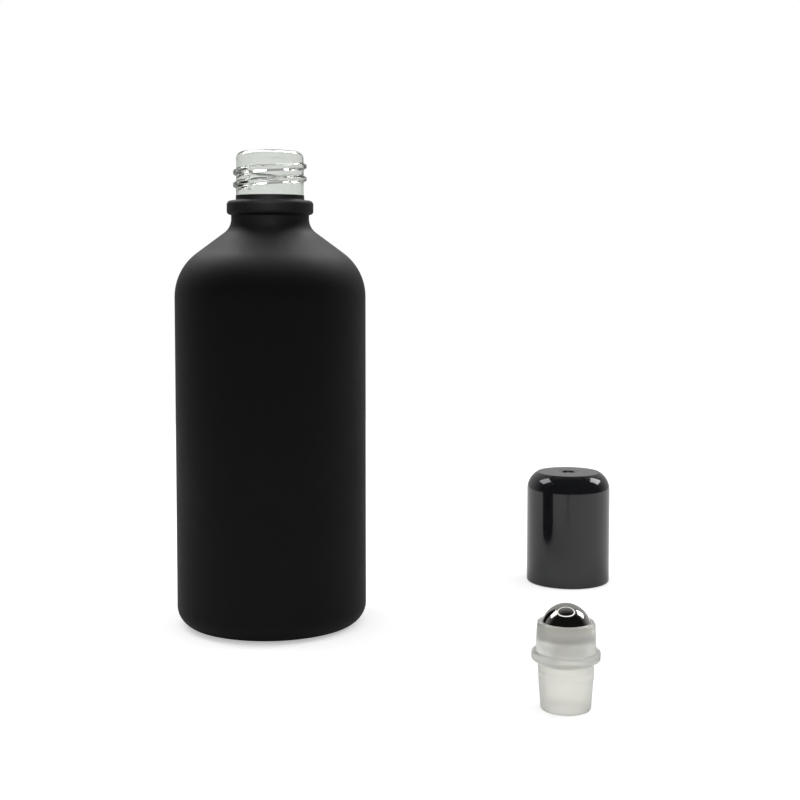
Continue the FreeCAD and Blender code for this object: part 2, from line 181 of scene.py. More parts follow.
class CapSizes(bpy.types.PropertyGroup):
    """Sizes of the screw cap."""

    height: length("Height", "Rim to crown", CAP_HIGH.z - CAP_LOW.z)
    radius: length("Radius", "Outside of the skirt", (CAP_HIGH.x - CAP_LOW.x) / 2)
    rim_round: length("Rim round", "Outer edge of the rim", 0.0005)
    shoulder_round: length("Shoulder round", "Rounding from the skirt to the crown", 0.0055)
    crown_inset: length("Crown inset", "Skirt to the crown's edge", 0.0028)
    crown_edge: length("Crown edge", "Rounding of the crown's edge", 0.00022)
    bore_radius: length("Bore radius", "Inside of the skirt", 0.0091)
    mouth_bevel: length("Mouth bevel", "Bevel inside the rim", 0.0004)
    top_wall: length("Top wall", "Thickness of the crown", 0.0022)
    ceiling_round: length("Ceiling round", "Inside, from the skirt to the crown", 0.003)
    gate_radius: length("Gate radius", "Dimple in the middle of the crown", 0.0018)
    gate_depth: length("Gate depth", "Dimple in the middle of the crown", 0.0005)
    nub_radius: length("Nub radius", "Moulding stub in the dimple", 0.00065)
    nub_height: length("Nub height", "Moulding stub in the dimple", 0.00035)
    ring_bore: length("Press ring bore", "Inside of the ring that holds the ball", 0.0026)
    ring_wall: length("Press ring wall", "Ring that holds the ball", 0.001)
    ring_length: length("Press ring length", "Ring that holds the ball", 0.00548)
    thread_height: length("Thread height", "Ridge inside the skirt", 0.00065)
    thread_pitch: length("Thread pitch", "Rise of the ridge in a turn", 0.003)
    thread_rise: length("Thread rise", "Rim to the start of the ridge", 0.0026)
    thread_turns: share("Thread turns", "Turns of the ridge", 1.5, top=3.0)


class Finishes(bpy.types.PropertyGroup):
    """Colours of the finishes."""

    glass: tint("Glass", "Clear flint glass", (0.985, 0.99, 0.985))
    lacquer: tint("Lacquer", "Matte black lacquer", (0.0022, 0.0022, 0.0023))
    lacquer_speck: tint("Lacquer speck", "Paler grain of the lacquer", (0.0055, 0.0055, 0.0057))
    plastic: tint("Frosted plastic", "Milky natural plastic", (0.962, 0.96, 0.92))
    plastic_shade: tint("Plastic shade", "Denser streaks of the plastic", (0.925, 0.922, 0.872))
    steel: tint("Steel", "Polished ball", (0.44, 0.43, 0.41))
    steel_film: tint("Steel film", "Trace of oil on the ball", (0.40, 0.385, 0.355))
    cap: tint("Cap", "Glossy black plastic", (0.009, 0.0095, 0.0115))
    cap_haze: tint("Cap haze", "Touched places of the cap", (0.014, 0.0145, 0.0165))


class StageLayout(bpy.types.PropertyGroup):
    """Camera, floor and light."""

    distance: length("Camera distance", "Camera to the bottle's axis", 0.336)
    eye_height: length("Eye height", "Camera over the floor", 0.0905)
    aside: length("Camera aside", "Camera to the right of the bottle", 0.0315)
    pitch: angle("Pitch", "Camera's look down", 3.5)
    drop: share("Frame drop", "Downward shift of the frame, as a share of its width", 0.0785, top=0.5)
    lens: share("Lens", "Focal length in millimetres", 62.1, top=500.0)
    floor_radius: length("Floor radius", "Pale floor", 0.42)
    lamp_power: share("Lamp power", "Watts of each shoulder softbox", 3.6, top=20.0)
    top_power: share("Top power", "Watts of the softbox over the bottle", 1.2, top=20.0)
    beam_power: share("Beam power", "Watts of the narrow beam on the bead", 18.0, top=200.0)
    key_power: share("Key power", "Watts of the right key light", 1.05, top=20.0)
    left_key: share("Left key", "Left key light, as a share of the right", 0.7)
    ring_radius: length("Ring radius", "Ring lamp over the loose pieces", 0.25)
    ring_width: length("Ring width", "Ring lamp over the loose pieces", 0.037)
    ring_strength: share("Ring strength", "Brightness of the ring lamp", 2.5, top=20.0)
    ambient: share("Ambient", "Even light from all round", 0.65)
    segments: count("Segments", "Facets round a turned piece", 192, 24, 400)


def draw_line(mesh, pen, target, rows):
    """Straight run of wire in equal rows; returns its last vertex."""
    step = (Vector(target) - pen.co) / rows
    for _ in range(rows):
        pen = bmesh.ops.extrude_vert_indiv(mesh, verts=[pen])["verts"][0]
        bmesh.ops.translate(mesh, verts=[pen], vec=step)
    return pen


def draw_arc(mesh, pen, centre, turn):
    """Arc of wire about a centre, positive to the left; returns its last vertex."""
    steps = max(3, math.ceil(abs(turn) / ARC_STEP))
    swept = bmesh.ops.spin(mesh, geom=[pen], cent=centre, axis=(0.0, -1.0, 0.0), dvec=STILL,
                           angle=turn, steps=steps)
    return next(item for item in swept["geom_last"] if isinstance(item, bmesh.types.BMVert))


def draw_profile(mesh, axis, corners):
    """Wire through the corners, in the upright half plane on the axis's right."""

    def place(point):
        return axis + Vector((point.x, 0.0, point.y))

    points = [Vector((corner.r, corner.z)) for corner in corners]
    first = pen = mesh.verts.new(place(points[0]))
    for i in range(1, len(corners)):
        corner, point = corners[i], points[i]
        if corner.about:
            centre = Vector(corner.about)
            start = Vector((pen.co.x - axis.x, pen.co.z - axis.z)) - centre
            pen = draw_arc(mesh, pen, place(centre), -start.angle_signed(point - centre))
        elif corner.round:
            arriving = (point - points[i - 1]).normalized()
            leaving = (points[(i + 1) % len(points)] - point).normalized()
            turn = -arriving.angle_signed(leaving)
            start = point - arriving * (corner.round * math.tan(abs(turn) / 2))
            inward = Vector((-arriving.y, arriving.x)) * math.copysign(corner.round, turn)
            pen = draw_line(mesh, pen, place(start), corner.rows)
            pen = draw_arc(mesh, pen, place(start + inward), turn)
        else:
            pen = draw_line(mesh, pen, place(point), corner.rows)
    if corners[-1].r > 0.0:
        mesh.edges.new((pen, first))


def turned_piece(axis, corners):
    """Closed surface turned about an upright axis from the corners of its profile."""
    mesh = bmesh.new()
    draw_profile(mesh, axis, corners)
    bmesh.ops.spin(mesh, geom=mesh.verts[:] + mesh.edges[:], cent=axis, axis=UP, dvec=STILL,
                   angle=math.tau, steps=bpy.context.scene.roll_on_stage.segments, use_merge=True)
    bmesh.ops.remove_doubles(mesh, verts=mesh.verts[:], dist=NEAR)
    bmesh.ops.recalc_face_normals(mesh, faces=mesh.faces[:])
    return mesh


def ease(value):
    """Smooth step from 0 to 1."""
    value = min(max(value, 0.0), 1.0)
    return value * value * (3.0 - 2.0 * value)


def raise_thread(mesh, axis, wall, start, turns, height, pitch):
    """Push a wall's rows out, or in for a negative height, along a right-hand ridge."""
    # Half widths of the ridge in metres, and the part of a turn in which its ends fade.
    half_root, half_crest, fade = 0.00095, 0.0003, 0.09
    start_angle = math.radians(135.0)
    for vert in mesh.verts:
        across = (vert.co - axis).xy
        level = vert.co.z - axis.z - start
        if abs(across.length - wall) > NEAR or not -half_root < level < turns * pitch + half_root:
            continue
        turned = (math.atan2(across.y, across.x) - start_angle) % math.tau / math.tau
        rise = 0.0
        for turn in (turned, turned + 1.0):
            if turn > turns:
                continue
            flank = (half_root - abs(level - turn * pitch)) / (half_root - half_crest)
            rise = max(rise, ease(flank) * ease(turn / fade) * ease((turns - turn) / fade))
        vert.co.xy = axis.xy + across * (1.0 + rise * height / wall)


def new_object(mesh, name, material):
    """Object at the origin that takes over a finished bmesh, in one material."""
    data = bpy.data.meshes.new(name)
    mesh.to_mesh(data)
    mesh.free()
    data.materials.append(material)
    made = bpy.data.objects.new(name, data)
    bpy.context.collection.objects.link(made)
    return made


def finish_piece(mesh, name, node, body, make_material, crease=CREASE):
    """Piece that stands for its CAD node and moves with its body, smooth up to its creases."""
    piece = new_object(mesh, name, make_material(bpy.context.scene.roll_on_finishes))
    piece.data.shade_smooth()
    piece.data.set_sharp_from_angle(angle=crease)
    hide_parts(node)
    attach(piece, body)


def add_node(tree, kind, inputs=None, **settings):
    """Shader node with its settings; an input given as a socket is linked."""
    node = tree.nodes.new("ShaderNode" + kind)
    for key, value in settings.items():
        setattr(node, key, value)
    for key, value in (inputs or {}).items():
        if isinstance(value, bpy.types.NodeSocket):
            tree.links.new(value, node.inputs[key])
        else:
            node.inputs[key].default_value = value
    return node


def new_group(name, inputs, outputs):
    """Empty shader node group with its sockets; returns the group, its input and output nodes."""
    group = bpy.data.node_groups.new(name, "ShaderNodeTree")
    for label, default in inputs.items():
        socket = group.interface.new_socket(label, in_out="INPUT", socket_type="NodeSocketFloat")
        socket.default_value = default
    for label in outputs:
        group.interface.new_socket(label, in_out="OUTPUT", socket_type="NodeSocketFloat")
    return group, group.nodes.new("NodeGroupInput"), group.nodes.new("NodeGroupOutput")


def grain_group():
    """Fine surface grain: a height, the specks that stand out of it, and a slow swell."""
    if "fine_grain" in bpy.data.node_groups:
        return bpy.data.node_groups["fine_grain"]
    group, given, result = new_group("fine_grain", {"Scale": 3000.0, "Swell": 200.0},
                                     ("Height", "Speck", "Swell"))
    spot = add_node(group, "TexCoord").outputs["Object"]
    fine = add_node(group, "TexNoise", {"Vector": spot, "Scale": given.outputs["Scale"],
                                        "Detail": 3.0, "Roughness": 0.6})
    slow = add_node(group, "TexNoise", {"Vector": spot, "Scale": given.outputs["Swell"],
                                        "Detail": 2.0, "Roughness": 0.45})
    speck = add_node(group, "MapRange", {"Value": fine.outputs["Fac"], "From Min": 0.5,
                                         "From Max": 0.68})
    group.links.new(fine.outputs["Fac"], result.inputs["Height"])
    group.links.new(speck.outputs["Result"], result.inputs["Speck"])
    group.links.new(slow.outputs["Fac"], result.inputs["Swell"])
    return group


def marks_group():
    """Traces of handling: soft smudges and hairline scratches."""
    if "handling_marks" in bpy.data.node_groups:
        return bpy.data.node_groups["handling_marks"]
    group, given, result = new_group("handling_marks", {"Smudge Scale": 120.0, "Scratch Scale": 260.0},
                                     ("Smudge", "Scratch"))
    spot = add_node(group, "TexCoord").outputs["Object"]
    cloud = add_node(group, "TexNoise", {"Vector": spot, "Scale": given.outputs["Smudge Scale"],
                                         "Detail": 4.0, "Roughness": 0.62, "Distortion": 0.6})
    smudge = add_node(group, "MapRange", {"Value": cloud.outputs["Fac"], "From Min": 0.47,
                                          "From Max": 0.72})
    laid = add_node(group, "Mapping", {"Vector": spot, "Rotation": (0.5, 0.9, 0.35),
                                       "Scale": (1.0, 0.09, 1.0)})
    cells = add_node(group, "TexVoronoi", {"Vector": laid.outputs["Vector"],
                                           "Scale": given.outputs["Scratch Scale"]},
                     feature="DISTANCE_TO_EDGE")
    line = add_node(group, "MapRange", {"Value": cells.outputs["Distance"], "From Min": 0.0,
                                        "From Max": 0.025, "To Min": 1.0, "To Max": 0.0})
    kept = add_node(group, "Math", {0: line.outputs["Result"], 1: smudge.outputs["Result"]},
                    operation="MULTIPLY")
    group.links.new(smudge.outputs["Result"], result.inputs["Smudge"])
    group.links.new(kept.outputs["Value"], result.inputs["Scratch"])
    return group


def new_material(name):
    """Material with an empty tree; returns it, its tree and its output."""
    material = bpy.data.materials.new(name)
    material.use_nodes = True
    material.node_tree.nodes.clear()
    return material, material.node_tree, add_node(material.node_tree, "OutputMaterial")


def new_finish(name, grain, swell, smudge, scratch):
    """Material with the shared effects placed at scales of its own; returns their outputs too."""
    material, tree, output = new_material(name)
    texture = add_node(tree, "Group", {"Scale": grain, "Swell": swell}, node_tree=grain_group())
    traces = add_node(tree, "Group", {"Smudge Scale": smudge, "Scratch Scale": scratch},
                      node_tree=marks_group())
    return material, tree, output, texture.outputs, traces.outputs


def spread(tree, mask, low, high):
    """Value that runs from low to high with a mask."""
    return add_node(tree, "MapRange", {"Value": mask, "To Min": low, "To Max": high}).outputs["Result"]


def total(tree, first, second):
    """Sum of two values."""
    return add_node(tree, "Math", {0: first, 1: second}, operation="ADD").outputs["Value"]


def blend_colours(tree, mask, first, second):
    """Colour between two colours by a mask."""
    # The Mix node has sockets for every data type; these are the numbers of the colour ones.
    factor_socket, first_socket, second_socket, result_socket = 0, 6, 7, 2
    mix = add_node(tree, "Mix", data_type="RGBA")
    tree.links.new(mask, mix.inputs[factor_socket])
    mix.inputs[first_socket].default_value = (*first, 1.0)
    mix.inputs[second_socket].default_value = (*second, 1.0)
    return mix.outputs[result_socket]


def bump(tree, height, strength, depth, under=None):
    """Normal bent by a height map, over another bent normal if one is given."""
    inputs = {"Height": height, "Strength": strength, "Distance": depth}
    if under is not None:
        inputs["Normal"] = under
    return add_node(tree, "Bump", inputs).outputs["Normal"]


def lay_surface(tree, output, inputs):
    """Principled shader as the surface of a material."""
    shader = add_node(tree, "BsdfPrincipled", inputs)
    tree.links.new(shader.outputs["BSDF"], output.inputs["Surface"])


def glass_material(colours):
    """Clear moulded glass: slow waves of the mould and faint smudges."""
    material, tree, output, grain, marks = new_finish(
        "clear_glass", grain=900.0, swell=210.0, smudge=160.0, scratch=300.0)
    waves = bump(tree, grain["Swell"], strength=0.6, depth=0.00025)
    lay_surface(tree, output, {
        "Base Color": (*colours.glass, 1.0),
        "Roughness": spread(tree, marks["Smudge"], low=0.008, high=0.035),
        "IOR": 1.51,
        "Transmission Weight": 1.0,
        "Normal": bump(tree, grain["Height"], strength=0.25, depth=0.00002, under=waves),
    })
    body_tint = add_node(tree, "VolumeAbsorption", {"Color": (0.80, 0.82, 0.79, 1.0),
                                                    "Density": 280.0})
    tree.links.new(body_tint.outputs["Volume"], output.inputs["Volume"])
    return material


def lacquer_material(colours):
    """Matte black lacquer: sprayed grain, slight orange peel, faint smudges."""
    material, tree, output, grain, marks = new_finish(
        "black_lacquer", grain=5200.0, swell=900.0, smudge=70.0, scratch=180.0)
    sprayed = spread(tree, grain["Height"], low=0.56, high=0.7)
    rubbed = spread(tree, marks["Smudge"], low=0.0, high=-0.05)
    peel = bump(tree, grain["Swell"], strength=0.3, depth=0.00003)
    lay_surface(tree, output, {
        "Base Color": blend_colours(tree, grain["Speck"], colours.lacquer, colours.lacquer_speck),
        "Roughness": total(tree, sprayed, rubbed),
        "IOR": 1.5,
        "Specular IOR Level": 0.18,
        "Normal": bump(tree, grain["Height"], strength=0.35, depth=0.000025, under=peel),
    })
    return material


def plastic_material(colours):
    """Frosted natural plastic: milky, see-through enough to show the ball as a blur."""
    material, tree, output, grain, marks = new_finish(
        "frosted_plastic", grain=3600.0, swell=340.0, smudge=240.0, scratch=420.0)
    frosted = spread(tree, grain["Height"], low=0.3, high=0.4)
    rubbed = spread(tree, marks["Smudge"], low=0.0, high=-0.06)
    lay_surface(tree, output, {
        "Base Color": blend_colours(tree, grain["Swell"], colours.plastic, colours.plastic_shade),
        "Roughness": total(tree, frosted, rubbed),
        "IOR": 1.49,
        "Transmission Weight": 0.87,
        "Subsurface Weight": 0.7,
        "Subsurface Radius": (0.0022, 0.0022, 0.0019),
        "Subsurface Scale": 1.0,
        "Normal": bump(tree, grain["Height"], strength=0.3, depth=0.00002),
    })
    return material


def steel_material(colours):
    """Polished steel ball: lapped, with hairlines and faint smudges."""
    material, tree, output, grain, marks = new_finish(
        "polished_steel", grain=4200.0, swell=520.0, smudge=330.0, scratch=900.0)
    smudged = spread(tree, marks["Smudge"], low=0.035, high=0.075)
    scratched = spread(tree, marks["Scratch"], low=0.0, high=0.12)
    lapped = spread(tree, grain["Height"], low=-0.01, high=0.015)
    lay_surface(tree, output, {
        "Base Color": blend_colours(tree, marks["Smudge"], colours.steel, colours.steel_film),
        "Metallic": 1.0,
        "Roughness": total(tree, total(tree, smudged, scratched), lapped),
        "Normal": bump(tree, marks["Scratch"], strength=0.02, depth=0.000002),
    })
    return material


def cap_material(colours):
    """Glossy black moulded plastic: mirror gloss with slow sink waves and fingerprints."""
    material, tree, output, grain, marks = new_finish(
        "black_gloss_plastic", grain=2600.0, swell=130.0, smudge=150.0, scratch=240.0)
    smudged = spread(tree, marks["Smudge"], low=0.08, high=0.14)
    scratched = spread(tree, marks["Scratch"], low=0.0, high=0.1)
    waves = bump(tree, grain["Swell"], strength=0.2, depth=0.00006)
    lay_surface(tree, output, {
        "Base Color": blend_colours(tree, marks["Smudge"], colours.cap, colours.cap_haze),
        "Roughness": total(tree, smudged, scratched),
        "IOR": 1.53,
        "Specular IOR Level": 0.6,
        "Normal": bump(tree, marks["Scratch"], strength=0.03, depth=0.000002, under=waves),
    })
    return material


def floor_material():
    """Plain pale floor, lifted to white for the camera, so that only the shadows stay."""
    material, tree, output = new_material("pale_floor")
    matte = add_node(tree, "BsdfDiffuse", {"Color": (0.82, 0.82, 0.82, 1.0)})
    lift = add_node(tree, "Emission", {"Color": WHITE, "Strength": 0.42})
    lifted = add_node(tree, "AddShader")
    tree.links.new(matte.outputs["BSDF"], lifted.inputs[0])
    tree.links.new(lift.outputs["Emission"], lifted.inputs[1])
    path = add_node(tree, "LightPath").outputs
    seen = add_node(tree, "Math", {0: path["Is Camera Ray"], 1: path["Is Transmission Ray"]},
                    operation="MAXIMUM")
    mix = add_node(tree, "MixShader", {"Fac": seen.outputs["Value"]})
    tree.links.new(matte.outputs["BSDF"], mix.inputs[1])
    tree.links.new(lifted.outputs["Shader"], mix.inputs[2])
    tree.links.new(mix.outputs["Shader"], output.inputs["Surface"])
    return material


def ring_material(strength):
    """Glow of the ring lamp."""
    material, tree, output = new_material("ring_glow")
    glow = add_node(tree, "Emission", {"Color": WHITE, "Strength": strength})
    tree.links.new(glow.outputs["Emission"], output.inputs["Surface"])
    return material


def bottle_levels(sizes):
    """Heights of the bead's top and foot, the neck's corner and the shoulder's corner."""
    bead_top = sizes.height - sizes.finish_height
    bead_foot = bead_top - sizes.bead_height
    open_angle = math.pi / 2 - sizes.shoulder_slope
    neck = bead_foot - sizes.neck_height - sizes.neck_round * math.tan(open_angle / 2)
    shoulder = neck - (sizes.body_radius - sizes.neck_radius) * math.tan(sizes.shoulder_slope)
    return bead_top, bead_foot, neck, shoulder


def slope_rise(sizes, film):
    """Rise of the slope's corners where the outside grows by a film, or shrinks by a wall."""
    return film * (1.0 - math.sin(sizes.shoulder_slope)) / math.cos(sizes.shoulder_slope)


def bottle_side(sizes, film):
    """Corners up the outside, from the shoulder to the thread's wall, grown by a film."""
    bead_top, bead_foot, neck, shoulder = bottle_levels(sizes)
    rise = slope_rise(sizes, film)
    return [
        Corner(sizes.body_radius + film, shoulder + rise, sizes.shoulder_round + film),
        Corner(sizes.neck_radius + film, neck + rise, sizes.neck_round - film),
        Corner(sizes.neck_radius + film, bead_foot - film, sizes.bead_lower_fillet - film),
        Corner(sizes.bead_radius + film, bead_foot - film, sizes.bead_lower_round + film),
        Corner(sizes.bead_radius + film, bead_top + film, sizes.bead_upper_round + film),
        Corner(sizes.finish_radius + film, bead_top + film, sizes.bead_upper_fillet - film),
    ]


class ROLLON_OT_glass(bpy.types.Operator):
    """Make the glass bottle"""

    bl_idname = "roll_on.glass"
    bl_label = "Glass Bottle"

    thread_crease = math.radians(75.0)
    ripples_per_metre = 260.0
    plain_lip = 0.001
    notch_margin = 0.0001

    def execute(self, context):
        sizes = context.scene.roll_on_bottle
        bead_top, _, _, shoulder = bottle_levels(sizes)
        dome_reach = sizes.body_radius - sizes.heel_round - sizes.foot_ring
        dome = (dome_reach ** 2 + sizes.push_up ** 2) / (2 * sizes.push_up)
        inner = sizes.body_radius - sizes.wall
        inner_shoulder = shoulder + slope_rise(sizes, -sizes.wall)
        inner_neck = inner_shoulder + (inner - sizes.bore_radius) * math.tan(sizes.shoulder_slope)
        floor = sizes.push_up + sizes.floor
        mesh = turned_piece(BOTTLE_AXIS, [
            Corner(0.0, sizes.push_up),
            Corner(dome_reach, 0.0, about=(0.0, sizes.push_up - dome)),
            Corner(sizes.body_radius, 0.0, sizes.heel_round, rows=2),
            *bottle_side(sizes, 0.0),
            Corner(sizes.finish_radius, sizes.height, sizes.lip_round, rows=140),
            Corner(sizes.bore_radius, sizes.height, sizes.lip_edge),
            Corner(sizes.bore_radius, inner_neck, sizes.throat_round, rows=24),
            Corner(inner, inner_shoulder, sizes.shoulder_round - sizes.wall, rows=4),
            Corner(inner, floor, sizes.floor_round, rows=24),
            Corner(0.0, floor, rows=8),
        ])
        raise_thread(mesh, BOTTLE_AXIS, sizes.finish_radius, bead_top + sizes.thread_rise,
                     sizes.thread_turns, sizes.thread_height, sizes.thread_pitch)
        self.ripple_inside(mesh, sizes, inner, floor)
        self.notch_foot(mesh, sizes, dome_reach)
        finish_piece(mesh, "glass_bottle", "bottle_glass", "bottle", glass_material,
                     crease=self.thread_crease)
        return {"FINISHED"}

    def ripple_inside(self, mesh, sizes, inner, floor):
        """Make the blown inner wall slightly uneven, up to the lip."""
        for vert in mesh.verts:
            across = (vert.co - BOTTLE_AXIS).xy
            reach = across.length
            level = vert.co.z - BOTTLE_AXIS.z
            in_bore = abs(reach - sizes.bore_radius) < NEAR
            in_body = reach < inner + NEAR and level > floor - NEAR
            below_lip = level < sizes.height - self.plain_lip
            if reach > NEAR and below_lip and (in_bore or in_body):
                lift = noise.noise(vert.co * self.ripples_per_metre) * sizes.ripple
                vert.co.xy = BOTTLE_AXIS.xy + across * (1.0 + lift / reach)

    def notch_foot(self, mesh, sizes, dome_reach):
        """Notch the ring that the bottle stands on, as moulded bases are."""
        inside = dome_reach + self.notch_margin
        outside = sizes.body_radius - sizes.heel_round - self.notch_margin
        for vert in mesh.verts:
            across = (vert.co - BOTTLE_AXIS).xy
            if abs(vert.co.z - BOTTLE_AXIS.z) < NEAR and inside < across.length < outside:
                wave = math.cos(sizes.notches * math.atan2(across.y, across.x))
                vert.co.z += sizes.notch_depth * ease(wave)


class ROLLON_OT_lacquer(bpy.types.Operator):
    """Make the lacquer on the outside of the glass"""

    bl_idname = "roll_on.lacquer"
    bl_label = "Lacquer"

    def execute(self, context):
        sizes = context.scene.roll_on_bottle
        edge = bottle_levels(sizes)[0] + sizes.film_rise
        grip = -sizes.film_grip
        heel = (sizes.body_radius - sizes.heel_round, sizes.heel_round)

        def foot(film):
            """Point of the heel's curve at the lacquer's lower edge."""
            drop = sizes.heel_round - sizes.film_foot
            return heel[0] + math.sqrt((sizes.heel_round + film) ** 2 - drop ** 2), sizes.film_foot

        outside = [
            Corner(*foot(sizes.film)),
            Corner(sizes.body_radius + sizes.film, sizes.heel_round, about=heel),
            *bottle_side(sizes, sizes.film),
            Corner(sizes.finish_radius + sizes.film, edge, sizes.film_round),
        ]
        inside = [
            Corner(sizes.finish_radius + grip, edge),
            *reversed(bottle_side(sizes, grip)),
            Corner(sizes.body_radius + grip, sizes.heel_round),
            Corner(*foot(grip), about=heel),
        ]
        mesh = turned_piece(BOTTLE_AXIS, outside + inside)
        finish_piece(mesh, "lacquer", "bottle_coat", "bottle", lacquer_material)
        return {"FINISHED"}


class ROLLON_OT_housing(bpy.types.Operator):
    """Make the frosted roller housing"""

    bl_idname = "roll_on.housing"
    bl_label = "Roller Housing"

    # Drop of each rib under the flange, and the small rounds and steps of the mould, in metres.
    rib_drops = (0.00245, 0.0011)
    rib_round = 0.0004
    plug_end_round = 0.0004
    taper_round = 0.006
    plug_fillet = 0.00015
    parting_half = 0.00007
    parting_depth = 0.00004
    socket_fillet = 0.00025
    rim_round = 0.0005
    rim_flare = 0.00012
    rim_bevel = 0.0001
    hollow_round = 0.0005
    groove_reach = 0.004
    groove_fade = 0.0004
    # Height of the parting line, as a share of the flange.
    parting_share = 0.55

    def execute(self, context):
        sizes = context.scene.roll_on_fitment
        rim = HOUSING_HIGH.z - HOUSING_LOW.z
        plug, flange = sizes.plug_radius, sizes.flange_radius
        plug_top = sizes.plug_length
        flange_top = plug_top + sizes.flange_height
        parting = plug_top + self.parting_share * sizes.flange_height
        ball = (BALL_LOW.z + BALL_HIGH.z) / 2 - HOUSING_LOW.z
        room = sizes.ball_radius + sizes.ball_play
        hollow = plug - sizes.plug_taper - sizes.plug_wall
        hollow_top = ball - room - sizes.seat_floor
        feed_top = ball - math.sqrt(room ** 2 - sizes.feed_hole ** 2)

        def socket_radius(level):
            """Radius of the ball's room at a height."""
            return math.sqrt(room ** 2 - (level - ball) ** 2)

        ribs = []
        for drop in self.rib_drops:
            middle = plug_top - drop
            ribs += [
                Corner(plug, middle - sizes.rib_width / 2),
                Corner(plug + sizes.rib_height, middle, self.rib_round),
                Corner(plug, middle + sizes.rib_width / 2),
            ]
        mesh = turned_piece(FITMENT_AXIS, [
            Corner(hollow, 0.0),
            Corner(plug - sizes.plug_taper, 0.0, self.plug_end_round),
            Corner(plug, plug_top - sizes.plug_straight, self.taper_round),
            *ribs,
            Corner(plug, plug_top, self.plug_fillet),
            Corner(flange, plug_top + sizes.flange_chamfer, sizes.flange_round),
            Corner(flange, parting - self.parting_half),
            Corner(flange - self.parting_depth, parting),
            Corner(flange, parting + self.parting_half),
            Corner(flange, flange_top, sizes.flange_round),
            Corner(sizes.socket_radius, flange_top, self.socket_fillet),
            Corner(sizes.socket_radius - sizes.socket_draft, rim, self.rim_round),
            Corner(socket_radius(rim) + self.rim_flare, rim),
            Corner(socket_radius(rim - self.rim_bevel), rim - self.rim_bevel),
            Corner(sizes.feed_hole, feed_top, about=(0.0, ball)),
            Corner(sizes.feed_hole, hollow_top),
            Corner(hollow, hollow_top, self.hollow_round),
        ])
        self.cut_grooves(mesh, ball, room, sizes.groove)
        finish_piece(mesh, "roller_fitment", "roller_housing", "fitment",
                     plastic_material)
        return {"FINISHED"}

    def cut_grooves(self, mesh, ball, room, groove):
        """Sink the four feed grooves into the lower half of the socket."""
        for vert in mesh.verts:
            across = (vert.co - FITMENT_AXIS).xy
            level = vert.co.z - FITMENT_AXIS.z
            on_socket = abs(math.hypot(across.length, level - ball) - room) < NEAR
            if not on_socket or not ball - self.groove_reach < level < ball:
                continue
            quarter = (math.atan2(across.y, across.x) + math.pi / 4) % (math.pi / 2) - math.pi / 4
            aside = abs(quarter) * across.length
            if aside < groove:
                sink = math.sqrt(groove ** 2 - aside ** 2) * ease((ball - level) / self.groove_fade)
                vert.co.xy = FITMENT_AXIS.xy + across * (1.0 + sink / across.length)


class ROLLON_OT_ball(bpy.types.Operator):
    """Make the steel ball"""

    bl_idname = "roll_on.ball"
    bl_label = "Steel Ball"

    def execute(self, context):
        mesh = bmesh.new()
        bmesh.ops.create_uvsphere(mesh, u_segments=144, v_segments=96,
                                  radius=context.scene.roll_on_fitment.ball_radius)
        bmesh.ops.translate(mesh, verts=mesh.verts[:], vec=(BALL_LOW + BALL_HIGH) / 2)
        finish_piece(mesh, "steel_ball", "roller_ball", "ball", steel_material)
        return {"FINISHED"}


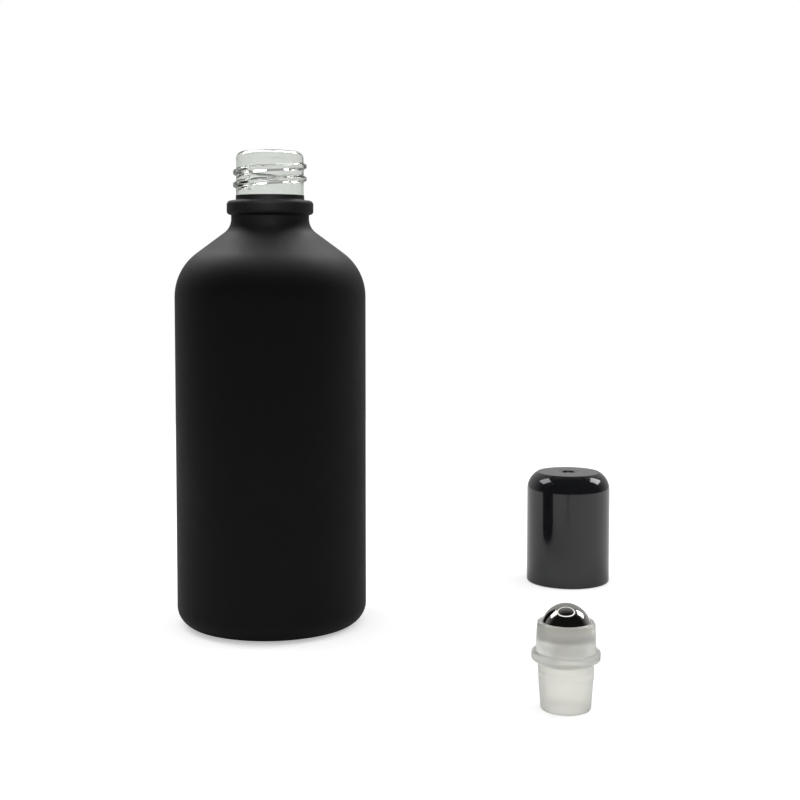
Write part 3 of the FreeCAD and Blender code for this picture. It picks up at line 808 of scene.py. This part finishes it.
class ROLLON_OT_cap(bpy.types.Operator):
    """Make the glossy screw cap"""

    bl_idname = "roll_on.cap"
    bl_label = "Screw Cap"

    # The nub's top is dished: its middle is at this share of the height, and the dish ends at this
    # share of the radius.
    nub_dish = 0.86
    nub_flat = 0.55
    # A little less than the whole round leaves room for the crown's edge.
    shoulder_share = 0.985
    # Small rounds and steps of the mould, in metres.
    nub_round = 0.00014
    nub_fillet = 0.0001
    gate_draft = 0.0002
    gate_fillet = 0.00016
    gate_round = 0.00008
    witness_gap = 0.0006
    witness_width = 0.00022
    witness_slope = 0.00004
    witness_depth = 0.00003
    mouth_round = 0.0001
    plain_bore = 0.0014
    ring_fillet = 0.0004
    ring_round = 0.0003
    ring_inner_round = 0.0002

    def execute(self, context):
        sizes = context.scene.roll_on_cap
        top, bore = sizes.height, sizes.bore_radius
        crown = sizes.radius - sizes.crown_inset
        sweep = math.acos(1.0 - sizes.crown_inset / sizes.shoulder_round)
        shoulder_foot = top - sizes.shoulder_round * math.sin(sweep)
        shoulder = shoulder_foot + sizes.shoulder_round * math.tan(sweep / 2)
        gate_floor = top - sizes.gate_depth
        nub_top = gate_floor + sizes.nub_height
        witness = sizes.gate_radius + self.witness_gap
        witness_end = witness + self.witness_width
        ceiling = top - sizes.top_wall
        ring_end = ceiling - sizes.ring_length
        ring = sizes.ring_bore + sizes.ring_wall
        thread_top = sizes.thread_rise + sizes.thread_turns * sizes.thread_pitch + self.plain_bore
        mesh = turned_piece(CAP_AXIS, [
            Corner(0.0, gate_floor + sizes.nub_height * self.nub_dish),
            Corner(sizes.nub_radius * self.nub_flat, nub_top),
            Corner(sizes.nub_radius, nub_top, self.nub_round),
            Corner(sizes.nub_radius, gate_floor, self.nub_fillet),
            Corner(sizes.gate_radius - self.gate_draft, gate_floor, self.gate_fillet),
            Corner(sizes.gate_radius, top, self.gate_round),
            Corner(witness, top),
            Corner(witness + self.witness_slope, top - self.witness_depth),
            Corner(witness_end - self.witness_slope, top - self.witness_depth),
            Corner(witness_end, top),
            Corner(crown, top, sizes.crown_edge, rows=10),
            Corner(sizes.radius, shoulder, sizes.shoulder_round * self.shoulder_share),
            Corner(sizes.radius, 0.0, sizes.rim_round, rows=6),
            Corner(bore + sizes.mouth_bevel, 0.0, self.mouth_round),
            Corner(bore, sizes.mouth_bevel),
            Corner(bore, self.plain_bore),
            Corner(bore, thread_top, rows=56),
            Corner(bore, ceiling, sizes.ceiling_round),
            Corner(ring, ceiling, self.ring_fillet),
            Corner(ring, ring_end, self.ring_round),
            Corner(sizes.ring_bore, ring_end, self.ring_inner_round),
            Corner(sizes.ring_bore, ceiling, self.ring_round),
            Corner(0.0, ceiling),
        ])
        raise_thread(mesh, CAP_AXIS, bore, sizes.thread_rise, sizes.thread_turns,
                     -sizes.thread_height, sizes.thread_pitch)
        finish_piece(mesh, "gloss_cap", "screw_cap", "cap", cap_material)
        return {"FINISHED"}


class ROLLON_OT_stage(bpy.types.Operator):
    """Make the floor, the light and the camera"""

    bl_idname = "roll_on.stage"
    bl_label = "Stage"

    bottle_pieces = ("glass_bottle", "lacquer")
    all_but_bottle = ("roller_fitment", "steel_ball", "gloss_cap", "floor")
    # What the lamps are aimed at, from the foot of the bottle, in metres.
    shoulder_place = Vector((0.0, 0.0, 0.092))
    beam_place = Vector((0.0, -0.0104, 0.134))
    # The ring lamp, from the foot of the fitment, and the floor, which touches no piece.
    ring_place = Vector((0.0, 0.08, 0.43))
    floor_place = Vector((0.0, 0.0, -0.00005))

    def execute(self, context):
        stage = context.scene.roll_on_stage
        self.lay_floor(stage)
        self.light_world(context.scene, stage)
        self.light_bottle(stage)
        self.light_loose_pieces(stage)
        self.aim_camera(context.scene, stage)
        context.scene.view_settings.view_transform = "Standard"
        return {"FINISHED"}

    def lay_floor(self, stage):
        """Pale disc just under the pieces."""
        mesh = bmesh.new()
        bmesh.ops.create_circle(mesh, cap_ends=True, segments=128, radius=stage.floor_radius)
        bmesh.ops.translate(mesh, verts=mesh.verts[:], vec=self.floor_place)
        new_object(mesh, "floor", floor_material())

    def light_world(self, scene, stage):
        """White to the camera, palest at eye level through glass, dark in front to gloss."""
        world = bpy.data.worlds.new("studio")
        world.use_nodes = True
        scene.world = world
        tree = world.node_tree
        tree.nodes.clear()
        output = add_node(tree, "OutputWorld")

        def light(colour, strength=1.0):
            """Light from all round."""
            lit = add_node(tree, "Background", {"Color": colour, "Strength": strength})
            return lit.outputs["Background"]

        def smooth_range(value, start, end, low, high):
            """Grey that runs smoothly from low to high as a value goes from start to end."""
            span = {"Value": value, "From Min": start, "From Max": end, "To Min": low, "To Max": high}
            return add_node(tree, "MapRange", span, interpolation_type="SMOOTHSTEP").outputs["Result"]

        spot = add_node(tree, "TexCoord").outputs["Generated"]
        way = add_node(tree, "SeparateXYZ", {"Vector": spot}).outputs
        tilt = add_node(tree, "Math", {0: way["Z"]}, operation="ABSOLUTE").outputs["Value"]
        seen_as = {
            "Is Glossy Ray": light(smooth_range(way["Y"], start=-0.15, end=0.8, low=0.012, high=0.5)),
            "Is Transmission Ray": light(smooth_range(tilt, start=0.1, end=0.55, low=0.96, high=0.4)),
            "Is Camera Ray": light(WHITE),
        }
        path = add_node(tree, "LightPath").outputs
        shown = light(WHITE, stage.ambient)
        for ray, view in seen_as.items():
            mix = add_node(tree, "MixShader", {"Fac": path[ray]})
            tree.links.new(shown, mix.inputs[1])
            tree.links.new(view, mix.inputs[2])
            shown = mix.outputs["Shader"]
        tree.links.new(shown, output.inputs["Surface"])

    def light_bottle(self, stage):
        """Softboxes behind and over the shoulder, and a beam whose lower edge is under the bead."""
        shoulder = BOTTLE_AXIS + self.shoulder_place
        for name, side in (("left", -1.0), ("right", 1.0)):
            self.hang_softbox(f"{name}_softbox", shoulder, toward=(0.36 * side, 0.52, 0.78), reach=0.6,
                              width=0.34, power=stage.lamp_power, spared=self.all_but_bottle)
        self.hang_softbox("top_softbox", shoulder, toward=(0.0, 0.02, 1.0), reach=0.5, width=0.36,
                          power=stage.top_power, spared=self.all_but_bottle)
        self.hang_beam("bead_beam", BOTTLE_AXIS + self.beam_place, toward=(0.0, -0.87, 0.5), reach=0.5,
                       width=0.06, power=stage.beam_power, spared=self.all_but_bottle)

    def light_loose_pieces(self, stage):
        """Key lights beside the cap and the fitment, and a ring lamp that shows in the ball."""
        middle = (CAP_AXIS + FITMENT_AXIS) / 2
        self.hang_softbox("left_key", middle, toward=(-0.66, 0.25, 0.72), reach=0.6, width=0.24,
                          power=stage.key_power * stage.left_key, spared=self.bottle_pieces)
        self.hang_softbox("right_key", middle, toward=(0.72, 0.29, 0.63), reach=0.6, width=0.24,
                          power=stage.key_power, spared=self.bottle_pieces)
        self.hang_ring(stage, spared=(*self.bottle_pieces, "gloss_cap"))

    def spare(self, lamp, names):
        """Keep a lamp's light off pieces that have lamps of their own."""
        spared = bpy.data.collections.new(f"{lamp.name}_spares")
        for name in names:
            spared.objects.link(bpy.data.objects[name])
        lamp.light_linking.receiver_collection = spared
        for entry in spared.collection_objects:
            entry.light_linking.link_state = "EXCLUDE"

    def hang_lamp(self, data, target, toward, reach, spared):
        """Lamp at a distance from its target, facing it and hidden from the camera."""
        direction = Vector(toward)
        lamp = bpy.data.objects.new(data.name, data)
        lamp.location = target + direction.normalized() * reach
        lamp.rotation_euler = direction.to_track_quat("Z", "Y").to_euler()
        lamp.visible_camera = False
        bpy.context.collection.objects.link(lamp)
        self.spare(lamp, spared)

    def hang_softbox(self, name, target, toward, reach, width, power, spared):
        """Square softbox."""
        data = bpy.data.lights.new(name, "AREA")
        data.shape = "SQUARE"
        data.size = width
        data.energy = power
        self.hang_lamp(data, target, toward, reach, spared)

    def hang_beam(self, name, target, toward, reach, width, power, spared):
        """Narrow round beam, as wide as given where it meets its target."""
        data = bpy.data.lights.new(name, "SPOT")
        data.spot_size = 2 * math.atan(width / 2 / reach)
        data.spot_blend = 0.15
        data.shadow_soft_size = 0.004
        data.energy = power
        self.hang_lamp(data, target, toward, reach, spared)

    def hang_ring(self, stage, spared):
        """Glowing ring over the fitment, hidden from the camera."""
        mesh = bmesh.new()
        bmesh.ops.create_circle(mesh, cap_ends=True, segments=96, radius=stage.ring_radius)
        bmesh.ops.inset_region(mesh, faces=mesh.faces[:], thickness=stage.ring_width,
                               use_boundary=True, use_even_offset=True)
        middle = [face for face in mesh.faces if len(face.verts) > 4]
        bmesh.ops.delete(mesh, geom=middle, context="FACES")
        bmesh.ops.translate(mesh, verts=mesh.verts[:], vec=FITMENT_AXIS + self.ring_place)
        ring = new_object(mesh, "ring_lamp", ring_material(stage.ring_strength))
        ring.visible_camera = False
        ring.visible_shadow = False
        self.spare(ring, spared)

    def aim_camera(self, scene, stage):
        """Camera near eye level, a little to the right of the bottle."""
        data = bpy.data.cameras.new("camera")
        data.sensor_width = 36.0
        data.lens = stage.lens
        data.clip_start = 0.01
        data.shift_y = -stage.drop
        camera = bpy.data.objects.new("camera", data)
        camera.location = (BOTTLE_AXIS.x + stage.aside, BOTTLE_AXIS.y - stage.distance,
                           stage.eye_height)
        camera.rotation_euler = (math.pi / 2 - stage.pitch, 0.0, 0.0)
        bpy.context.collection.objects.link(camera)
        scene.camera = camera


class ROLLON_PT_panel(bpy.types.Panel):
    """Makers and sizes of the roll-on bottle"""

    bl_label = "Roll-On Bottle"
    bl_idname = "ROLLON_PT_panel"
    bl_space_type = "VIEW_3D"
    bl_region_type = "UI"
    bl_category = "Roll-On"

    def draw(self, context):
        layout = self.layout
        for maker in MAKERS:
            layout.operator(maker.bl_idname)
        for name, group in SETTINGS.items():
            box = layout.box()
            box.label(text=group.__doc__)
            for key in group.__annotations__:
                box.prop(getattr(context.scene, name), key)


SETTINGS = {
    "roll_on_bottle": BottleSizes,
    "roll_on_fitment": FitmentSizes,
    "roll_on_cap": CapSizes,
    "roll_on_finishes": Finishes,
    "roll_on_stage": StageLayout,
}
MAKERS = (ROLLON_OT_glass, ROLLON_OT_lacquer, ROLLON_OT_housing, ROLLON_OT_ball, ROLLON_OT_cap,
          ROLLON_OT_stage)


def register():
    """Register the settings, the makers and the panel."""
    for name, group in SETTINGS.items():
        bpy.utils.register_class(group)
        setattr(bpy.types.Scene, name, PointerProperty(type=group))
    for maker in MAKERS:
        bpy.utils.register_class(maker)
    bpy.utils.register_class(ROLLON_PT_panel)


def unregister():
    """Undo register, in the other order."""
    bpy.utils.unregister_class(ROLLON_PT_panel)
    for maker in reversed(MAKERS):
        bpy.utils.unregister_class(maker)
    for name, group in reversed(SETTINGS.items()):
        delattr(bpy.types.Scene, name)
        bpy.utils.unregister_class(group)


def main():
    register()
    bpy.ops.roll_on.glass()
    bpy.ops.roll_on.lacquer()
    bpy.ops.roll_on.housing()
    bpy.ops.roll_on.ball()
    bpy.ops.roll_on.cap()
    bpy.ops.roll_on.stage()


if __name__ == "__main__":
    main()
